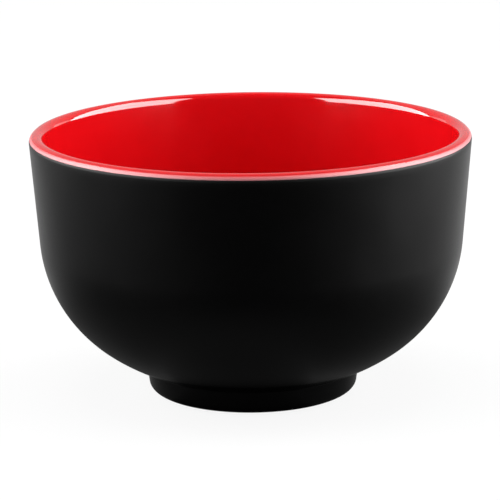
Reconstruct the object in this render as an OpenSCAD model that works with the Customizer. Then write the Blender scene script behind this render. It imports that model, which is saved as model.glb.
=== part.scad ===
// Two-colour melamine bowl: a black moulded shell, and a red liner moulded into it that also forms the lip.
// The origin is at the centre of the foot, on the table. +Z is up, and lengths are millimetres.
// Both pieces are turned about Z. The wall runs down from the lip as a straight leaning stretch, a belly
// curve, a flatter base curve and a flat floor, each tangent to the next.

/* [Bowl] */
// Outside diameter of the straight wall, carried up to the level of the seam between black and red
rim_d = 130; // [120:1:145]
// Height from the table to the top of the lip
bowl_h = 78; // [66:0.1:96]
// Lean of the straight upper wall, in degrees from upright
wall_lean = 4.5; // [3:0.1:6]
// Outside radius of the belly curve, below the straight wall
belly_r = 42.5; // [40:0.1:44]
// Outside radius of the flatter base curve, between the belly and the floor
base_r = 58.9; // [56:0.1:62]
// Slope at which the belly curve passes into the base curve, in degrees from upright
curve_split = 54; // [52:0.5:57]
// Height of the base curve's lowest point above the table
base_z = 3; // [2.8:0.1:4]

/* [Layers] */
// Thickness of the black shell
shell_t = 2.3; // [1.8:0.1:2.6]
// Thickness of the red liner
liner_t = 2.2; // [1.8:0.1:2.6]
// Height of red that shows outside, from the seam to the top of the lip
lip_show = 1.6; // [1:0.1:1.8]

/* [Foot] */
// Outside diameter of the foot at table level, before its edge is rounded
foot_d = 61.5; // [54:0.1:70]
// Lean of the foot's outer wall, in degrees from upright, wider upwards
foot_lean = 7.8; // [3:0.1:12]
// Rounding of the foot's outer bottom edge
foot_round = 2.7; // [1:0.1:3.5]
// Width of the flat ring that stands on the table
foot_land = 1.6; // [1:0.1:3]
// Rounding of the foot's inner bottom edge
foot_inner_round = 0.9; // [0.5:0.1:1.5]
// Lean of the foot's inner wall, in degrees from upright, narrower upwards
foot_draft = 20; // [5:1:30]
// Depth of the hollow under the base
hollow_h = 2.8; // [2:0.1:3.5]

/* [Hidden] */
// Segments of a full turn, and the largest gap between a drawn chord and its true arc
$fn = 180;
chord_gap = 0.01;

// Wall thickness, and the radius of the full round that ends it
wall_t = shell_t + liner_t;
lip_r = wall_t / 2;

// Height of the seam on the outside, and how far the straight wall drops below it
seam_z = bowl_h - lip_show;
straight_drop = seam_z - base_z - belly_r * (sin(curve_split) - sin(wall_lean))
              - base_r * (1 - sin(curve_split));

// Outer lower end of the straight wall, then the centres of the belly curve and the base curve
wall_end = [rim_d / 2 - straight_drop * tan(wall_lean), seam_z - straight_drop];
belly_c = wall_end - belly_r * direction(-wall_lean);
base_c = belly_c + (belly_r - base_r) * direction(-curve_split);

// Length of the straight wall up to the lip's round, and the round's centre
wall_len = (bowl_h - lip_r * (1 + sin(wall_lean)) - wall_end.y) / cos(wall_lean);
lip_c = wall_point(lip_r, wall_len);

// Where the seam lies on the lip's round, and its height above the round's start, along the wall
seam_angle = asin(1 - lip_show / lip_r);
seam_rise = lip_r * sin(wall_lean + seam_angle);

// Centres of the foot's two bottom rounds, and the points where its walls leave them
foot_out_c = [foot_d / 2 - foot_round * (1 / cos(foot_lean) - tan(foot_lean)), foot_round];
foot_out_end = foot_out_c + foot_round * direction(-foot_lean);
foot_in_c = [foot_out_c.x - foot_land, foot_inner_round];
foot_in_end = foot_in_c + foot_inner_round * direction(180 + foot_draft);

// Radius of the hollow under the base at its flat top, and the slope where the bowl meets the foot
hollow_r = foot_in_end.x - (hollow_h - foot_in_end.y) * tan(foot_draft);
crease = foot_out_end + gap_to_circle(foot_out_end, 90 - foot_lean, base_c, base_r) * direction(90 - foot_lean);
crease_angle = atan2(crease.y - base_c.y, crease.x - base_c.x);

function direction(angle) = [cos(angle), sin(angle)];

function reverse(list) = [for (i = [len(list) - 1:-1:0]) list[i]];

// Points of an arc after its start point, up to and with its end point
function arc(c, r, from, to) =
    let (step = 2 * acos(1 - chord_gap / r), count = ceil(abs(to - from) / step))
    [for (i = [1:count]) c + r * direction(from + (to - from) * i / count)];

// Distance from p along an angle to the near side of a circle
function gap_to_circle(p, angle, c, r) =
    let (along = (p - c) * direction(angle))
    -along - sqrt(along * along - (p - c) * (p - c) + r * r);

// Point of the straight wall at a depth below its outer face and a length up from its lower end
function wall_point(depth, up) =
    wall_end - depth * direction(-wall_lean) + up * direction(90 - wall_lean);

// Line at a depth below the wall's outer face, from the start of the lip's round down to the axis
function wall_line(depth) = concat(
    [wall_point(depth, wall_len), wall_point(depth, 0)],
    arc(belly_c, belly_r - depth, -wall_lean, -curve_split),
    arc(base_c, base_r - depth, -curve_split, -90),
    [[0, base_z + depth]]
);

// The seam's outer point, and the corner where the liner turns from the wall over the shell's top edge
function seam() = [lip_c + lip_r * direction(seam_angle)];
function seam_corner() = [wall_point(shell_t, wall_len + seam_rise)];

// Outside of the shell from the seam down to the foot
function outside_line() = concat(
    seam(),
    arc(lip_c, lip_r, seam_angle, -wall_lean),
    [wall_end],
    arc(belly_c, belly_r, -wall_lean, -curve_split),
    arc(base_c, base_r, -curve_split, crease_angle)
);

// Foot from its outer wall round to the hollow under the base and the axis
function foot_line() = concat(
    [foot_out_end],
    arc(foot_out_c, foot_round, -foot_lean, -90),
    [[foot_in_c.x, 0]],
    arc(foot_in_c, foot_inner_round, 270, 180 + foot_draft),
    [[hollow_r, hollow_h], [0, hollow_h]]
);

// Lip from the inside of the wall over its top to the seam
function lip_line() = arc(lip_c, lip_r, 180 - wall_lean, seam_angle);

// Black shell, moulded first, with the foot in one piece
module outer_shell() {
    color("#17171a")
        rotate_extrude()
            polygon(concat(outside_line(), foot_line(), reverse(wall_line(shell_t)), seam_corner()));
}

// Red liner, moulded into the shell, which turns over the shell's top edge to make the lip
module inner_liner() {
    color("#d0121b")
        rotate_extrude()
            polygon(concat(seam_corner(), wall_line(shell_t), reverse(wall_line(wall_t)), lip_line()));
}

outer_shell();
inner_liner();
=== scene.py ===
# Two-colour melamine bowl: a matte black shell and a gloss red liner, standing on white paper.
import math

import bmesh
import bpy
from mathutils import Matrix, Vector


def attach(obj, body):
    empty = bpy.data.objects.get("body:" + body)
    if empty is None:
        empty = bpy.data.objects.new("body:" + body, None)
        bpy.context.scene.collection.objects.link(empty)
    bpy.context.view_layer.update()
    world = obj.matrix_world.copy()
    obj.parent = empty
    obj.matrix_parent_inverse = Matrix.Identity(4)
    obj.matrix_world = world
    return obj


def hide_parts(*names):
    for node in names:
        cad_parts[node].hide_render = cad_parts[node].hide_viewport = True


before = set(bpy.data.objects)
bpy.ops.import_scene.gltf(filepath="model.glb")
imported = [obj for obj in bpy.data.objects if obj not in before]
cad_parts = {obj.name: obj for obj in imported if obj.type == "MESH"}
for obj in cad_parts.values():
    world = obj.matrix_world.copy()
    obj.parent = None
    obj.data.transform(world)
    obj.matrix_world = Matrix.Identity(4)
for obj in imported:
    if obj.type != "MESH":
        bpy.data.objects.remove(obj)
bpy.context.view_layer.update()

# The bowl's outlines are worked out in millimetres, and its meshes are in metres
MM = 0.001

# Outside of the bowl: radius at the seam's level, height, lean of the straight wall, belly and base curves
RIM_R = 65.0
BOWL_H = 78.0
WALL_LEAN = 4.5
BELLY_R = 42.5
BASE_R = 58.9
CURVE_SPLIT = 54.0
BASE_Z = 3.0

# Layers, and the height of red that shows outside the lip
SHELL_T = 2.3
LINER_T = 2.2
LIP_SHOW = 1.6

# Foot: radius at the table, lean of its outer wall, bottom rounds, flat ring and the hollow under the base
FOOT_R = 30.75
FOOT_LEAN = 7.8
FOOT_ROUND = 2.7
FOOT_LAND = 1.6
FOOT_INNER_ROUND = 0.9
FOOT_DRAFT = 20.0
HOLLOW_H = 2.8

# Small rounds that a mould leaves: where the bowl meets the foot, in the hollow's corner, and at the seam
CREASE_ROUND = 0.5
HOLLOW_ROUND = 0.8
SEAM_ROUND = 0.1

# Fineness of the turned meshes: segments round the axis, the gap between a chord and its arc where it is
# seen and where it is hidden, the largest step along an arc in degrees, and the radius that counts as none
SEGMENTS = 256
FINE_GAP = 0.002
HIDDEN_GAP = 0.02
MAX_STEP = 4.0
AXIS_R = 0.001
# Edges that turn by more than this many degrees stay sharp
SHARP_TURN = 30.0

# Angles on the lip's round, up from level, at which the duller buffing along the seam is full and at which
# it has faded: upwards into the red liner's gloss, and downwards into the black shell's matte
LINER_BUFF = (40.0, 56.0)
SHELL_BUFF = (8.0, -18.0)
# Length of wall below the lip's round in which the shell's buffing ends
SHELL_FADE = 1.5
# Angles at which the liner's buffed edge is greyest and darkest, by the seam, and at which it is reddest.
# The edge's paleness is its own; its darker, greyer red by the seam is painted shade.
LINER_PALE_AND_SHADE = (17.0, 46.0)
# Angles between which a point counts as the lip's outside
LIP_OUTSIDE = (-30.0, 90.0)

# Heights between which the foot's smoother finish passes into the matte of the bowl
FOOT_FADE = (10.5, 12.0)


def direction(angle):
    """Unit vector at an angle in degrees, in the plane of radius and height."""
    return Vector((math.cos(math.radians(angle)), math.sin(math.radians(angle))))


def arc(center, radius, start, end, gap=FINE_GAP):
    """Points of an arc after its start, up to and with its end."""
    step = min(math.degrees(2 * math.acos(1 - gap / radius)), MAX_STEP)
    count = math.ceil(abs(end - start) / step)
    return [center + radius * direction(start + (end - start) * i / count) for i in range(1, count + 1)]


def angle_of(vector):
    """Angle of a vector in degrees, up from level."""
    return math.degrees(math.atan2(vector.y, vector.x))


def gap_to_circle(point, angle, center, radius):
    """Distance from a point along an angle to the near side of a circle."""
    offset = point - center
    along = offset.dot(direction(angle))
    return -along - math.sqrt(along * along - offset.dot(offset) + radius * radius)


def rounded(before, corner, after, radius):
    """Points that round a corner between two straight lines."""
    inward = (before - corner).normalized()
    outward = (after - corner).normalized()
    half = inward.angle(outward) / 2
    center = corner + (inward + outward).normalized() * radius / math.sin(half)
    reach = radius / math.tan(half)
    start = angle_of(corner + inward * reach - center)
    turn = (angle_of(corner + outward * reach - center) - start + 180) % 360 - 180
    return [corner + inward * reach] + arc(center, radius, start, start + turn)


# Points that the outlines share, found as the tangents between the curves above
WALL_T = SHELL_T + LINER_T
LIP_R = WALL_T / 2
SEAM_Z = BOWL_H - LIP_SHOW
SIN_LEAN = math.sin(math.radians(WALL_LEAN))
SIN_SPLIT = math.sin(math.radians(CURVE_SPLIT))
STRAIGHT_DROP = SEAM_Z - BASE_Z - BELLY_R * (SIN_SPLIT - SIN_LEAN) - BASE_R * (1 - SIN_SPLIT)
WALL_END = Vector((RIM_R - STRAIGHT_DROP * math.tan(math.radians(WALL_LEAN)), SEAM_Z - STRAIGHT_DROP))
BELLY_C = WALL_END - BELLY_R * direction(-WALL_LEAN)
BASE_C = BELLY_C + (BELLY_R - BASE_R) * direction(-CURVE_SPLIT)
WALL_LEN = (BOWL_H - LIP_R * (1 + SIN_LEAN) - WALL_END.y) / math.cos(math.radians(WALL_LEAN))


def wall_point(depth, up):
    """Point of the straight wall at a depth below its outer face and a length up from its lower end."""
    return WALL_END - depth * direction(-WALL_LEAN) + up * direction(90 - WALL_LEAN)


LIP_C = wall_point(LIP_R, WALL_LEN)
SEAM_ANGLE = math.degrees(math.asin(1 - LIP_SHOW / LIP_R))
SEAM = LIP_C + LIP_R * direction(SEAM_ANGLE)
SEAM_CORNER = wall_point(SHELL_T, WALL_LEN + LIP_R * math.sin(math.radians(WALL_LEAN + SEAM_ANGLE)))


def wall_line(depth, gap):
    """Line at a depth below the wall's outer face, from the start of the lip's round down to the axis."""
    return (
        [wall_point(depth, WALL_LEN), wall_point(depth, 0)]
        + arc(BELLY_C, BELLY_R - depth, -WALL_LEAN, -CURVE_SPLIT, gap)
        + arc(BASE_C, BASE_R - depth, -CURVE_SPLIT, -90, gap)
        + [Vector((0, BASE_Z + depth))]
    )


def foot_line():
    """Base curve down to the foot, the foot's outer wall and ring, then up to the hollow and the axis."""
    lean = math.radians(FOOT_LEAN)
    out_c = Vector((FOOT_R - FOOT_ROUND * (1 / math.cos(lean) - math.tan(lean)), FOOT_ROUND))
    out_end = out_c + FOOT_ROUND * direction(-FOOT_LEAN)
    in_c = Vector((out_c.x - FOOT_LAND, FOOT_INNER_ROUND))
    in_end = in_c + FOOT_INNER_ROUND * direction(180 + FOOT_DRAFT)
    hollow_r = in_end.x - (HOLLOW_H - in_end.y) * math.tan(math.radians(FOOT_DRAFT))
    crease_from = out_end + CREASE_ROUND * direction(-FOOT_LEAN)
    crease_gap = gap_to_circle(crease_from, 90 - FOOT_LEAN, BASE_C, BASE_R + CREASE_ROUND)
    crease_c = crease_from + crease_gap * direction(90 - FOOT_LEAN)
    hollow_corner = Vector((hollow_r, HOLLOW_H))
    hollow_center = Vector((0, HOLLOW_H))
    return (
        arc(BASE_C, BASE_R, -CURVE_SPLIT, angle_of(crease_c - BASE_C))
        + arc(crease_c, CREASE_ROUND, angle_of(BASE_C - crease_c), 180 - FOOT_LEAN)
        + [out_end]
        + arc(out_c, FOOT_ROUND, -FOOT_LEAN, -90)
        + [Vector((in_c.x, 0))]
        + arc(in_c, FOOT_INNER_ROUND, 270, 180 + FOOT_DRAFT)
        + rounded(in_end, hollow_corner, hollow_center, HOLLOW_ROUND)
        + [hollow_center]
    )


def shell_outline():
    """Black shell: from the hollow round its outside up to the seam, then down its inside to the axis."""
    lip = arc(LIP_C, LIP_R, SEAM_ANGLE, -WALL_LEAN)
    fade_end = wall_point(0, WALL_LEN - SHELL_FADE)
    outside = lip + [fade_end, WALL_END] + arc(BELLY_C, BELLY_R, -WALL_LEAN, -CURVE_SPLIT) + foot_line()
    edge = rounded(SEAM_CORNER, SEAM, lip[0], SEAM_ROUND)
    return outside[::-1] + edge[::-1] + [SEAM_CORNER] + wall_line(SHELL_T, HIDDEN_GAP)


def liner_outline():
    """Red liner: up its inside from the axis, over the lip to the seam, and down its back to the axis."""
    inside = wall_line(WALL_T, FINE_GAP)[::-1]
    lip = arc(LIP_C, LIP_R, 180 - WALL_LEAN, SEAM_ANGLE)
    edge = rounded(lip[-2], SEAM, SEAM_CORNER, SEAM_ROUND)
    return inside + lip[:-1] + edge + [SEAM_CORNER] + wall_line(SHELL_T, HIDDEN_GAP)


def turned(name, outline):
    """Mesh object made by turning an outline, from axis to axis, about Z."""
    mesh = bmesh.new()
    turns = [math.tau * i / SEGMENTS for i in range(SEGMENTS)]
    rings = []
    for point in outline:
        radius = point.x * MM
        height = point.y * MM
        if point.x < AXIS_R:
            ring = [mesh.verts.new((0, 0, height))] * SEGMENTS
        else:
            ring = [mesh.verts.new((radius * math.cos(t), radius * math.sin(t), height)) for t in turns]
        rings.append(ring)
    for ring, following in zip(rings, rings[1:]):
        for i in range(SEGMENTS):
            j = (i + 1) % SEGMENTS
            corners = [ring[i], ring[j], following[j], following[i]]
            mesh.faces.new(list(dict.fromkeys(corners)))
    bmesh.ops.recalc_face_normals(mesh, faces=mesh.faces)
    data = bpy.data.meshes.new(name)
    mesh.to_mesh(data)
    mesh.free()
    data.polygons.foreach_set("use_smooth", [True] * len(data.polygons))
    data.set_sharp_from_angle(angle=math.radians(SHARP_TURN))
    piece = bpy.data.objects.new(name, data)
    bpy.context.collection.objects.link(piece)
    return piece


def mark_lip(piece, name, full, none):
    """Stores a share for each point of the lip's outside, from 1 at one angle to 0 at another."""
    low, high = LIP_OUTSIDE
    values = []
    for vertex in piece.data.vertices:
        radius = math.hypot(vertex.co.x, vertex.co.y) / MM
        angle = angle_of(Vector((radius, vertex.co.z / MM)) - LIP_C)
        share = (none - angle) / (none - full)
        values.append(min(max(share, 0), 1) if low < angle < high else 0)
    attribute = piece.data.attributes.new(name, "FLOAT", "POINT")
    attribute.data.foreach_set("value", values)


# Sockets of the mix node: the two numbers that it mixes, the two colours, and the mixed colour
NUMBER_A = 2
NUMBER_B = 3
COLOR_A = 6
COLOR_B = 7
COLOR_OUT = 2
# Range that noise mostly keeps to
NOISE_LOW = 0.25
NOISE_HIGH = 0.75


class Nodes:
    """Short names for adding nodes to a material, a lamp or the world, and linking them."""

    def __init__(self, owner):
        owner.use_nodes = True
        self.tree = owner.node_tree
        self.tree.nodes.clear()

    def add(self, kind, inputs=None, **settings):
        """A node with its settings, whose inputs are linked to sockets or set to values."""
        node = self.tree.nodes.new("ShaderNode" + kind)
        for key, value in settings.items():
            setattr(node, key, value)
        for key, value in (inputs or {}).items():
            if isinstance(value, bpy.types.NodeSocket):
                self.tree.links.new(value, node.inputs[key])
            else:
                node.inputs[key].default_value = value
        return node

    def place(self):
        """Place on the object, in metres."""
        return self.add("TexCoord").outputs["Object"]

    def mark(self, name):
        """Share that is stored on the mesh under a name."""
        return self.add("Attribute", attribute_name=name).outputs["Fac"]

    def noise(self, place, size, detail=3.0):
        """Noise whose lumps are about size millimetres wide."""
        inputs = {"Vector": place, "Scale": 1 / (size * MM), "Detail": detail}
        return self.add("TexNoise", inputs).outputs["Fac"]

    def scaled(self, value, low, high, from_low=NOISE_LOW, from_high=NOISE_HIGH):
        """The value's range, which is noise's unless it is given, stretched to run from low to high."""
        inputs = {"Value": value, "From Min": from_low, "From Max": from_high, "To Min": low, "To Max": high}
        return self.add("MapRange", inputs).outputs["Result"]

    def combined(self, operation, first, second):
        """Number that a math operation makes of two."""
        return self.add("Math", {0: first, 1: second}, operation=operation).outputs[0]

    def blended(self, share, first, second):
        """Number that goes from the first to the second as the share grows."""
        return self.add("Mix", {"Factor": share, NUMBER_A: first, NUMBER_B: second}).outputs[0]

    def mixed(self, share, first, second):
        """Colour that goes from the first to the second as the share grows."""
        node = self.add("Mix", {"Factor": share, COLOR_A: first, COLOR_B: second}, data_type="RGBA")
        return node.outputs[COLOR_OUT]

    def bump(self, relief, strength, height):
        """Normals for a relief that is height millimetres high."""
        return self.add("Bump", {"Height": relief, "Strength": strength, "Distance": height * MM}).outputs[0]

    def finish(self, surface):
        self.add("OutputMaterial", {"Surface": surface})


def rgb(red, green, blue):
    return (red, green, blue, 1.0)


# Shell: widths of its grain and of its faint smudges in millimetres, and the two blacks of its grain
SHELL_GRAIN = 0.35
SHELL_SMUDGE = 14.0
SHELL_BLACKS = (rgb(0.0014, 0.0014, 0.0015), rgb(0.002, 0.002, 0.002))
# Roughness of the shell from smudge to smudge, what the grain adds to it, and that of the foot and the seam
SMUDGE_ROUGHNESS = (0.33, 0.37)
GRAIN_ROUGHNESS = (-0.03, 0.03)
FOOT_ROUGHNESS = 0.2
SEAM_ROUGHNESS = 0.45
SHELL_SPECULAR = 0.11
# Strength of the grain's bump, and its height in millimetres
GRAIN_BUMP = (0.25, 0.01)


def shell_material():
    """Matte black melamine from a finely blasted mould, smoother on the foot and duller along the seam."""
    material = bpy.data.materials.new("matte_black_melamine")
    nodes = Nodes(material)
    place = nodes.place()
    grain = nodes.noise(place, SHELL_GRAIN)
    smudge = nodes.noise(place, SHELL_SMUDGE, detail=4.0)
    grained = nodes.scaled(grain, *GRAIN_ROUGHNESS)
    matte = nodes.combined("ADD", grained, nodes.scaled(smudge, *SMUDGE_ROUGHNESS))
    height = nodes.add("SeparateXYZ", {"Vector": place}).outputs["Z"]
    foot = nodes.scaled(height, 1, 0, *[value * MM for value in FOOT_FADE])
    smoothed = nodes.blended(foot, matte, FOOT_ROUGHNESS)
    inputs = {
        "Base Color": nodes.mixed(nodes.scaled(grain, 0, 1), *SHELL_BLACKS),
        "Roughness": nodes.blended(nodes.mark("buffed"), smoothed, SEAM_ROUGHNESS),
        "Specular IOR Level": SHELL_SPECULAR,
        "Normal": nodes.bump(grain, *GRAIN_BUMP),
    }
    nodes.finish(nodes.add("BsdfPrincipled", inputs).outputs[0])
    return material


# Liner: widths in millimetres of its faint clouds, of the grain on its buffed edge and of its ripple
LINER_CLOUD = 9.0
LINER_GRAIN = 0.4
LINER_RIPPLE = 5.0
# The two reds of its clouds, and its buffed edge at its reddest and at its greyest, where the halved red by
# the seam is painted shade
LINER_REDS = (rgb(0.54, 0.0027, 0.005), rgb(0.57, 0.0035, 0.0066))
EDGE_REDS = (rgb(0.6, 0.07, 0.08), rgb(0.3, 0.085, 0.095))
# Roughness of the liner in its clouds, and on its buffed edge
GLOSS_ROUGHNESS = (0.075, 0.085)
EDGE_ROUGHNESS = (0.48, 0.56)
LINER_IOR = 1.55
LINER_SPECULAR = 0.5
# Strength of the ripple's bump, and its height in millimetres
RIPPLE_BUMP = (0.3, 0.01)


def liner_material():
    """Gloss red melamine, with a faint ripple from pressing and a duller, paler edge outside the lip, its
    red darker by the seam in painted shade.
    """
    material = bpy.data.materials.new("gloss_red_melamine")
    nodes = Nodes(material)
    place = nodes.place()
    cloud = nodes.noise(place, LINER_CLOUD, detail=2.0)
    grain = nodes.noise(place, LINER_GRAIN)
    ripple = nodes.noise(place, LINER_RIPPLE, detail=1.0)
    buffed = nodes.mark("buffed")
    red = nodes.mixed(nodes.scaled(cloud, 0, 1), *LINER_REDS)
    # Painted shade: the edge's red turns darker and greyer towards the seam
    edge = nodes.mixed(nodes.mark("pale_and_shaded"), *EDGE_REDS)
    gloss = nodes.scaled(cloud, *GLOSS_ROUGHNESS)
    dull = nodes.scaled(grain, *EDGE_ROUGHNESS)
    inputs = {
        "Base Color": nodes.mixed(buffed, red, edge),
        "Roughness": nodes.blended(buffed, gloss, dull),
        "IOR": LINER_IOR,
        "Specular IOR Level": LINER_SPECULAR,
        "Normal": nodes.bump(ripple, *RIPPLE_BUMP),
    }
    nodes.finish(nodes.add("BsdfPrincipled", inputs).outputs[0])
    return material


def add_bowl():
    """Both pieces, each in place of the solid that has its shape."""
    shell = turned("black_shell", shell_outline())
    shell.data.materials.append(shell_material())
    mark_lip(shell, "buffed", *SHELL_BUFF)
    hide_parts("outer_shell")
    liner = turned("red_liner", liner_outline())
    liner.data.materials.append(liner_material())
    mark_lip(liner, "buffed", *LINER_BUFF)
    mark_lip(liner, "pale_and_shaded", *LINER_PALE_AND_SHADE)
    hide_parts("inner_liner")
    for piece in (shell, liner):
        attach(piece, "root")


# Stage, in metres: a sheet of paper that lies just under the foot
SHEET_DROP = 0.0002
SHEET_SIZE = 9.0
# Grey of the paper under the lamps, and the white that is added to it where it is seen
PAPER_GREY = 0.1
PAPER_GLOW = 0.88
# In reflections the paper is white behind the bowl, dim under it, and dark in front and round the foot.
# This is painted shade that only reflections see: painted dark in front, and a painted shadow under the bowl
# and round the foot.
# A place's turn is 1 on the side that is white and -1 on the far side of the bowl from there.
WHITE_SIDE = (0.17, 0.985, 0)
# Turns at which the paper round the bowl is dark and would be full white, and the distances from the axis
# between which the paper under the bowl passes into the paper round it
GLOW_TURNS = (-0.5, 1.15)
GLOW_REACH = (0.08, 0.13)
# Under the bowl: two turns, in front and nearer the sides, and the share of white at each, in the painted
# shadow there
UNDER_TURNS = (-1.0, -0.7)
UNDER_GLOWS = (0.28, 0.16)
# Distances from the axis: where the painted shadow round the foot starts to fade, and where it ends at each
# turn
FOOT_SHADOW_START = 0.028
FOOT_SHADOW_ENDS = (0.07, 0.033)


def paper_glow_and_shade(nodes):
    """Share of the paper's white that reflections see, from place to place, with painted shade: dark in
    front, and a painted shadow under the bowl and round the foot.
    """
    place = nodes.place()
    reach = nodes.add("VectorMath", {0: place}, operation="LENGTH").outputs["Value"]
    way = nodes.add("VectorMath", {0: place}, operation="NORMALIZE").outputs["Vector"]
    turn = nodes.add("VectorMath", {0: way, 1: WHITE_SIDE}, operation="DOT_PRODUCT").outputs["Value"]
    # Painted shadow: the paper under the bowl and round the foot is dimmed for reflections only
    dim = nodes.scaled(turn, *UNDER_GLOWS, *UNDER_TURNS)
    shadow_end = nodes.scaled(turn, *FOOT_SHADOW_ENDS, *UNDER_TURNS)
    under = nodes.scaled(reach, 0, dim, FOOT_SHADOW_START, shadow_end)
    around = nodes.scaled(turn, 0, 1, *GLOW_TURNS)
    return nodes.scaled(reach, under, around, *GLOW_REACH)


def paper_material():
    """White paper with a faint shadow. It throws no light on the bowl, which sees it only in its gloss, with
    painted shade in front of the bowl and under it.
    """
    material = bpy.data.materials.new("white_paper")
    nodes = Nodes(material)
    path = nodes.add("LightPath").outputs
    seen = nodes.combined("MAXIMUM", path["Is Camera Ray"], path["Is Glossy Ray"])
    seen = nodes.combined("MAXIMUM", seen, path["Is Transmission Ray"])
    clear = nodes.combined("MAXIMUM", path["Is Camera Ray"], paper_glow_and_shade(nodes))
    shown = nodes.combined("MULTIPLY", seen, clear)
    grey = nodes.mixed(shown, rgb(0, 0, 0), rgb(PAPER_GREY, PAPER_GREY, PAPER_GREY))
    glow = nodes.combined("MULTIPLY", shown, PAPER_GLOW)
    lit = nodes.add("BsdfDiffuse", {"Color": grey})
    white = nodes.add("Emission", {"Color": rgb(1, 1, 1), "Strength": glow})
    paper = nodes.add("AddShader", {0: lit.outputs[0], 1: white.outputs[0]})
    nodes.finish(paper.outputs[0])
    return material


def add_sheet():
    """Square sheet of paper, which is stage and not part of the bowl."""
    half = SHEET_SIZE / 2
    corners = [(-half, -half), (half, -half), (half, half), (-half, half)]
    data = bpy.data.meshes.new("paper_sheet")
    data.from_pydata([(x, y, -SHEET_DROP) for x, y in corners], [], [(0, 1, 2, 3)])
    data.materials.append(paper_material())
    sheet = bpy.data.objects.new("paper_sheet", data)
    bpy.context.collection.objects.link(sheet)


# Lamps, in metres and degrees: turn to the right of the camera's side, distance, height of the centre,
# width, height and radiance. Soft lamps light the colours, and shine lamps are seen only in the gloss.
SOFT_LAMPS = {
    "soft_left": (-94.0, 1.25, 0.8, 1.9, 1.3, 5.1),
    "soft_right": (94.0, 1.25, 0.8, 1.9, 1.3, 5.1),
    "soft_top": (0.0, 0.0, 1.2, 1.0, 1.0, 3.2),
    "soft_front": (0.0, 1.1, 0.2, 1.2, 0.4, 1.6),
}
SHINE_LAMPS = {
    "shine_left": (-85.0, 1.3, 0.98, 2.12, 1.76, 12.5),
    "shine_right": (85.0, 1.3, 1.3, 2.12, 2.4, 12.0),
    "rim_left": (-135.0, 1.6, 0.28, 0.68, 0.36, 1.0),
    "rim_right": (135.0, 1.6, 0.28, 0.68, 0.36, 1.2),
    "shine_back": (180.0, 1.0, 1.75, 2.4, 3.4, 0.55),
    "card_left": (-90.0, 0.92, 0.038, 0.9, 0.07, 8.0),
    "card_right": (90.0, 0.92, 0.038, 0.9, 0.07, 32.0),
}
# Count of glossy bounces that lies between a reflection and a reflection of a reflection
ONCE_REFLECTED = 1.5
# Grey of the room round the stage
ROOM_GREY = 0.02


def add_lamp(name, turn, away, up, wide, tall, radiance):
    """Upright area lamp that faces the bowl, or one that faces down where it hangs right above."""
    light = bpy.data.lights.new(name, "AREA")
    light.shape = "RECTANGLE"
    light.size = wide
    light.size_y = tall
    light.energy = radiance * math.pi * wide * tall
    lamp = bpy.data.objects.new(name, light)
    side = math.radians(turn)
    lamp.location = (away * math.sin(side), -away * math.cos(side), up)
    lamp.rotation_euler = Vector((-lamp.location.x, -lamp.location.y, 0)).to_track_quat("-Z", "Y").to_euler()
    lamp.visible_camera = False
    bpy.context.collection.objects.link(lamp)
    return lamp


def show_once(light):
    """Keeps a lamp out of reflections of reflections, which would draw it again inside the bowl."""
    nodes = Nodes(light)
    depth = nodes.add("LightPath").outputs["Glossy Depth"]
    once = nodes.combined("LESS_THAN", depth, ONCE_REFLECTED)
    emission = nodes.add("Emission", {"Strength": once})
    nodes.add("OutputLight", {"Surface": emission.outputs[0]})


def add_room():
    """Dim world round the stage, so that the lamps alone light the bowl."""
    world = bpy.data.worlds.new("room")
    nodes = Nodes(world)
    background = nodes.add("Background", {"Color": rgb(1, 1, 1), "Strength": ROOM_GREY})
    nodes.add("OutputWorld", {"Surface": background.outputs[0]})
    bpy.context.scene.world = world


def add_lights():
    for name, values in SOFT_LAMPS.items():
        add_lamp(name, *values).visible_glossy = False
    for name, values in SHINE_LAMPS.items():
        lamp = add_lamp(name, *values)
        lamp.visible_diffuse = False
        show_once(lamp.data)
    add_room()


# Camera, in metres and degrees: its place, how far it looks down, and how far it leans
CAMERA_PLACE = Vector((0, -0.738782, 0.220367))
CAMERA_PITCH = 13.604
CAMERA_ROLL = -0.645
# Its lens and its sideways shift in pixels, with the width of that picture and of the sensor
FOCAL_PX = 2557.673
SHIFT_PX = -1.59
IMAGE_PX = 500
SENSOR_MM = 36.0


def add_camera():
    data = bpy.data.cameras.new("camera")
    data.sensor_width = SENSOR_MM
    data.lens = FOCAL_PX / IMAGE_PX * SENSOR_MM
    data.shift_x = SHIFT_PX / IMAGE_PX
    camera = bpy.data.objects.new("camera", data)
    pitch = Matrix.Rotation(math.radians(90 - CAMERA_PITCH), 4, "X")
    roll = Matrix.Rotation(math.radians(CAMERA_ROLL), 4, "Z")
    camera.matrix_world = Matrix.Translation(CAMERA_PLACE) @ pitch @ roll
    bpy.context.collection.objects.link(camera)
    bpy.context.scene.camera = camera


add_camera()
add_bowl()
add_sheet()
add_lights()
bpy.context.scene.view_settings.view_transform = "Standard"
